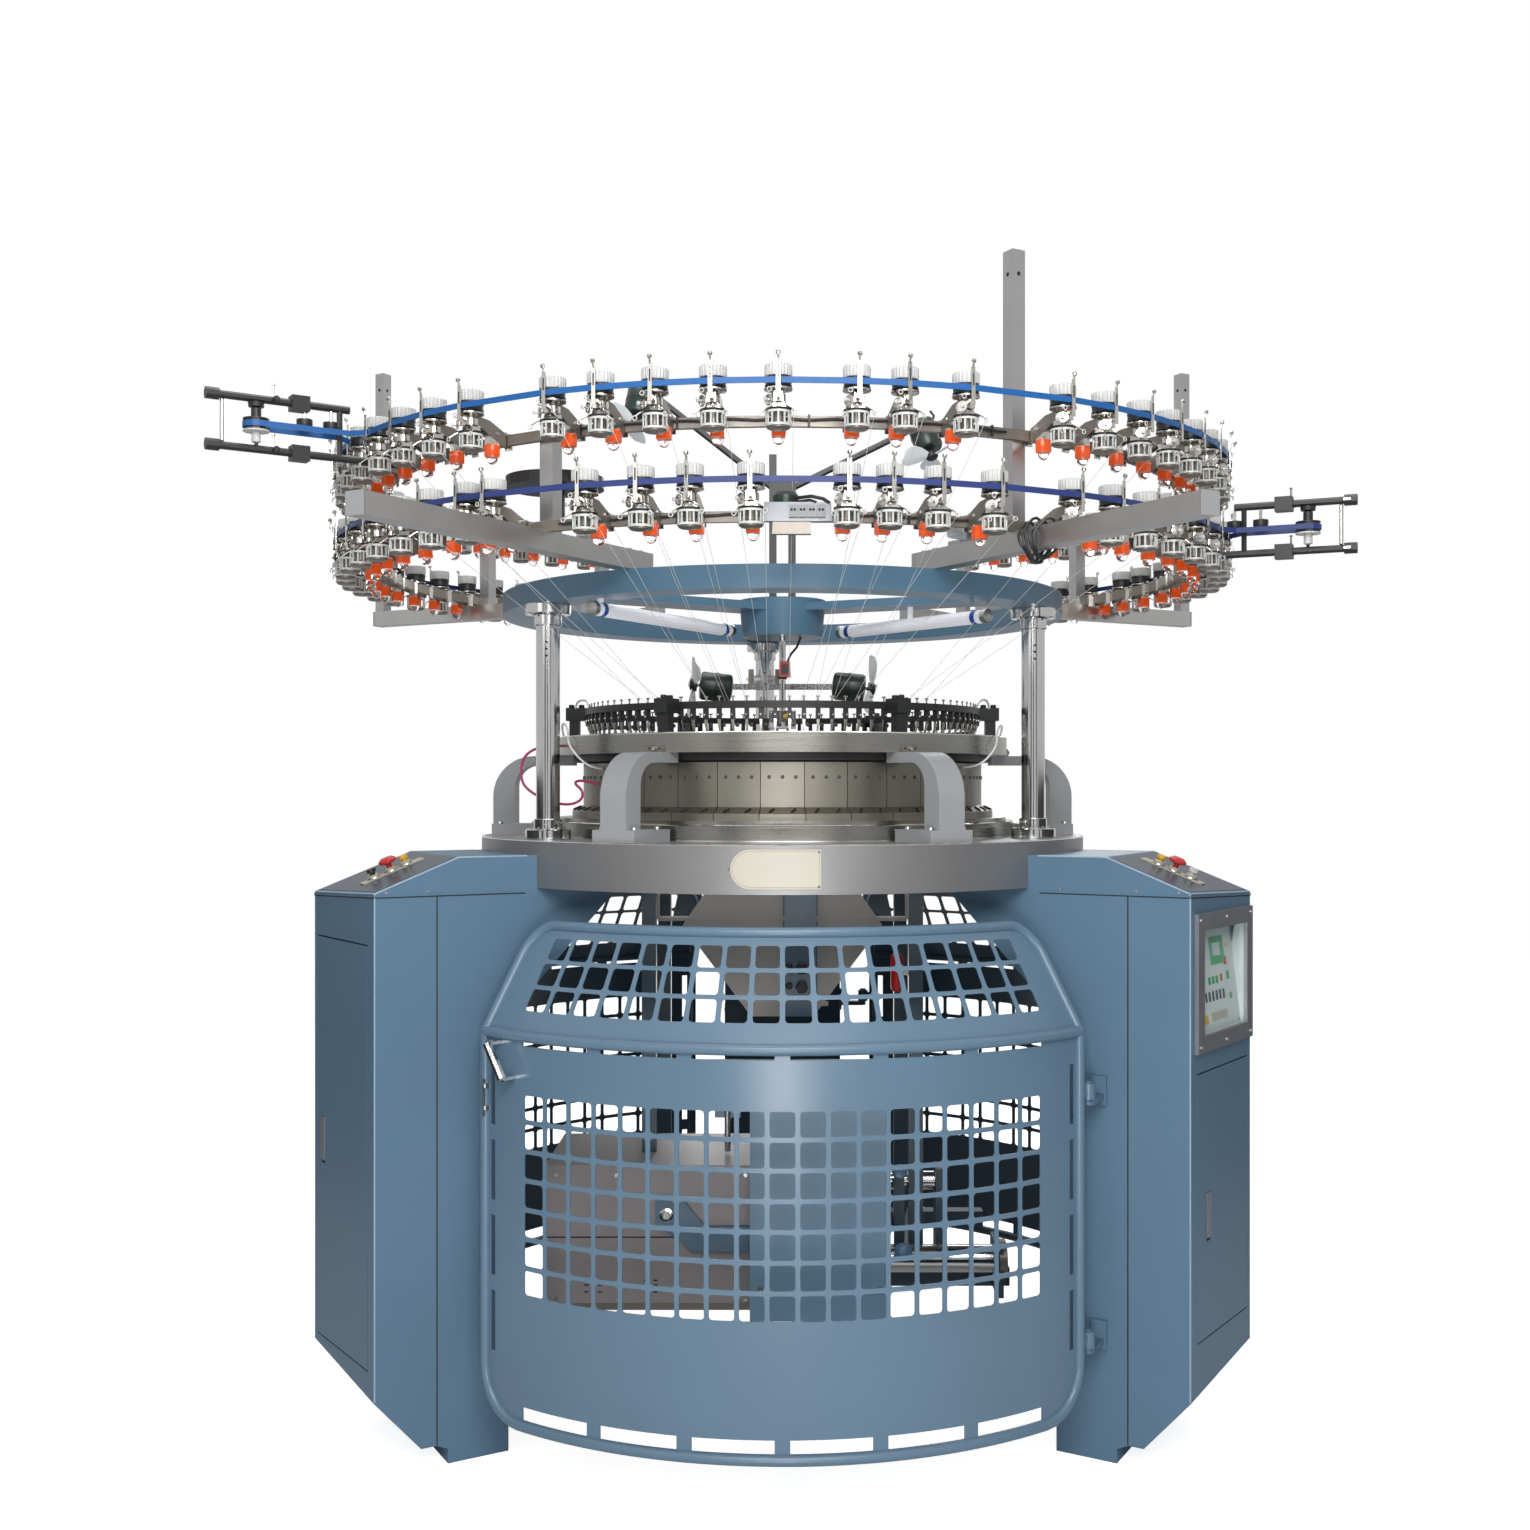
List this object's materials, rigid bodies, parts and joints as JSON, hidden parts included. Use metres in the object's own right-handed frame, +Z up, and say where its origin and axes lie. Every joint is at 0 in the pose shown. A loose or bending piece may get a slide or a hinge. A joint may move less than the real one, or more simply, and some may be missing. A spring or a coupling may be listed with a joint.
{
  "type": "circular knitting machine",
  "caption": "Round knitting head on a three-legged frame with perforated guard doors below and a two-tier yarn feeder creel above.",
  "frame": {"origin": "on the floor, on the axis of the needle cylinder, at the centre of the three anchor holes", "axes": "+Z up along the cylinder axis, -Y to the front where the nameplate side is, +X to the right seen from the front"},
  "size_m": [2.3324, 2.2818, 2.53],
  "materials": {
    "frame_paint": "satin",
    "bed_paint": "satin",
    "ring_paint": "satin",
    "guard_paint": "satin",
    "cast_grey": "satin",
    "dark_metal": "satin",
    "steel": "ground",
    "bright_steel": "polished",
    "aluminium": "satin",
    "beige_plastic": "matte",
    "yellow_button": "gloss",
    "red_button": "gloss",
    "black_plastic": "matte",
    "white_plastic": "gloss",
    "blue_belt": "matte",
    "navy_belt": "matte",
    "window": "clear",
    "box_paint": "satin"
  },
  "bodies": {
    "frame": {"leg_right": "frame_paint", "leg_left": "frame_paint", "leg_rear": "frame_paint", "cabinet_right": "frame_paint", "cabinet_left": "frame_paint", "consoles": "beige_plastic", "control_window_frame": "aluminium", "control_window_pane": "window", "key_panel": "white_plastic", "bed_plate": "bed_paint", "gear_cover": "bed_paint", "cam_ring": "steel", "sinker_ring": "bed_paint", "cap_ring": "bright_steel", "arch_brackets": "cast_grey", "guide_ring": "dark_metal", "yarn_guides": "steel", "columns": "bright_steel", "top_ring": "ring_paint", "lamps": "white_plastic", "centre_pole": "dark_metal", "fan_mast": "dark_metal", "fan_motors": "dark_metal", "creel_arms": "aluminium", "creel_posts": "aluminium", "tier_beams": "dark_metal", "lower_feeders": "white_plastic", "upper_feeders": "white_plastic", "lower_belt": "navy_belt", "upper_belt": "blue_belt", "lower_tensioner": "dark_metal", "upper_tensioner": "dark_metal", "drive_brackets": "steel", "guard_hinges": "steel"},
    "front_guard": {"front_guard": "guard_paint", "guard_handle": "bright_steel"},
    "rear_guard_right": {"rear_guard_right": "guard_paint"},
    "rear_guard_left": {"rear_guard_left": "guard_paint"},
    "take_down": {"needle_cylinder": "steel", "take_down_frame": "ring_paint", "take_down_box": "box_paint", "fabric_spreader": "steel"},
    "draw_roller": {"draw_roller": "bright_steel"},
    "cloth_roller": {"cloth_roller": "bright_steel"},
    "drive_wheel_left": {"drive_wheel_left": "black_plastic"},
    "drive_wheel_right": {"drive_wheel_right": "dark_metal"},
    "fan_upper_left": {"fan_upper_left": "white_plastic"},
    "fan_upper_right": {"fan_upper_right": "black_plastic"},
    "fan_lower_left": {"fan_lower_left": "white_plastic"},
    "fan_lower_right": {"fan_lower_right": "black_plastic"},
    "cabinet_door_right": {"cabinet_door_right": "frame_paint"},
    "door_latch_right": {"door_latch_right": "dark_metal"},
    "jog_button_right": {"jog_button_right": "yellow_button"},
    "stop_button_right": {"stop_button_right": "red_button"},
    "run_button_right": {"run_button_right": "white_plastic"},
    "cabinet_door_left": {"cabinet_door_left": "frame_paint"},
    "door_latch_left": {"door_latch_left": "dark_metal"},
    "jog_button_left": {"jog_button_left": "yellow_button"},
    "stop_button_left": {"stop_button_left": "red_button"},
    "run_button_left": {"run_button_left": "black_plastic"}
  },
  "joints": [
    {"name": "front_guard_hinge", "type": "hinge", "parent": "frame", "child": "front_guard", "pos_m": [0.61629, -0.62816, 0.52], "axis": [0, 0, 1], "range_deg": [0, 100]},
    {"name": "rear_guard_right_hinge", "type": "hinge", "parent": "frame", "child": "rear_guard_right", "pos_m": [0.23586, 0.8478, 0.52], "axis": [0, 0, 1], "range_deg": [0, 100]},
    {"name": "rear_guard_left_hinge", "type": "hinge", "parent": "frame", "child": "rear_guard_left", "pos_m": [-0.85215, -0.21964, 0.52], "axis": [0, 0, 1], "range_deg": [0, 100]},
    {"name": "take_down_turn", "type": "hinge", "parent": "frame", "child": "take_down", "pos_m": [0, 0, 1.2], "axis": [0, 0, 1], "continuous": true},
    {"name": "draw_roller_spin", "type": "hinge", "parent": "take_down", "child": "draw_roller", "pos_m": [0.1, -0.2, 0.485], "axis": [1, 0, 0], "continuous": true},
    {"name": "cloth_roller_spin", "type": "hinge", "parent": "take_down", "child": "cloth_roller", "pos_m": [0.1, -0.31, 0.339], "axis": [1, 0, 0], "continuous": true},
    {"name": "drive_wheel_left_spin", "type": "hinge", "parent": "frame", "child": "drive_wheel_left", "pos_m": [-0.455, -0.65, 1.98], "axis": [0, 0, 1], "continuous": true},
    {"name": "drive_wheel_right_spin", "type": "hinge", "parent": "frame", "child": "drive_wheel_right", "pos_m": [0.392, -0.62, 1.892], "axis": [0, 0, 1], "continuous": true},
    {"name": "fan_upper_left_spin", "type": "hinge", "parent": "frame", "child": "fan_upper_left", "pos_m": [-0.343, 0, 2.305], "axis": [-0.1402, -0.3271, -0.9345], "continuous": true},
    {"name": "fan_upper_right_spin", "type": "hinge", "parent": "frame", "child": "fan_upper_right", "pos_m": [0.343, 0, 2.225], "axis": [0.2762, -0.2762, -0.9206], "continuous": true},
    {"name": "fan_lower_left_spin", "type": "hinge", "parent": "frame", "child": "fan_lower_left", "pos_m": [-0.16, 0, 1.622], "axis": [-0.9901, -0.099, 0.099], "continuous": true},
    {"name": "fan_lower_right_spin", "type": "hinge", "parent": "frame", "child": "fan_lower_right", "pos_m": [0.16, 0, 1.622], "axis": [0.9901, -0.099, -0.099], "continuous": true},
    {"name": "cabinet_door_right_hinge", "type": "hinge", "parent": "frame", "child": "cabinet_door_right", "pos_m": [0.99059, -0.39892, 0.5], "axis": [0, 0, 1], "range_deg": [0, 95]},
    {"name": "door_latch_right_lift", "type": "hinge", "parent": "cabinet_door_right", "child": "door_latch_right", "pos_m": [0.86487, -0.57682, 0.4655], "axis": [0.5809, 0.814, 0], "range_deg": [0, 60]},
    {"name": "jog_button_right_press", "type": "slide", "parent": "frame", "child": "jog_button_right", "axis": [-0.3216, 0.1857, -0.9285], "range_m": [0, 0.004], "stiffness_N_per_m": 500},
    {"name": "stop_button_right_press", "type": "slide", "parent": "frame", "child": "stop_button_right", "axis": [-0.3216, 0.1857, -0.9285], "range_m": [0, 0.004], "stiffness_N_per_m": 500},
    {"name": "run_button_right_press", "type": "slide", "parent": "frame", "child": "run_button_right", "axis": [-0.3216, 0.1857, -0.9285], "range_m": [0, 0.004], "stiffness_N_per_m": 500},
    {"name": "cabinet_door_left_hinge", "type": "hinge", "parent": "frame", "child": "cabinet_door_left", "pos_m": [-0.83372, -0.61874, 0.5], "axis": [0, 0, 1], "range_deg": [0, 95]},
    {"name": "door_latch_left_lift", "type": "hinge", "parent": "cabinet_door_left", "child": "door_latch_left", "pos_m": [-0.97783, -0.41852, 0.5875], "axis": [0.5809, -0.814, 0], "range_deg": [0, 60]},
    {"name": "jog_button_left_press", "type": "slide", "parent": "frame", "child": "jog_button_left", "axis": [0.3216, 0.1857, -0.9285], "range_m": [0, 0.004], "stiffness_N_per_m": 500},
    {"name": "stop_button_left_press", "type": "slide", "parent": "frame", "child": "stop_button_left", "axis": [0.3216, 0.1857, -0.9285], "range_m": [0, 0.004], "stiffness_N_per_m": 500},
    {"name": "run_button_left_press", "type": "slide", "parent": "frame", "child": "run_button_left", "axis": [0.3216, 0.1857, -0.9285], "range_m": [0, 0.004], "stiffness_N_per_m": 500}
  ]
}
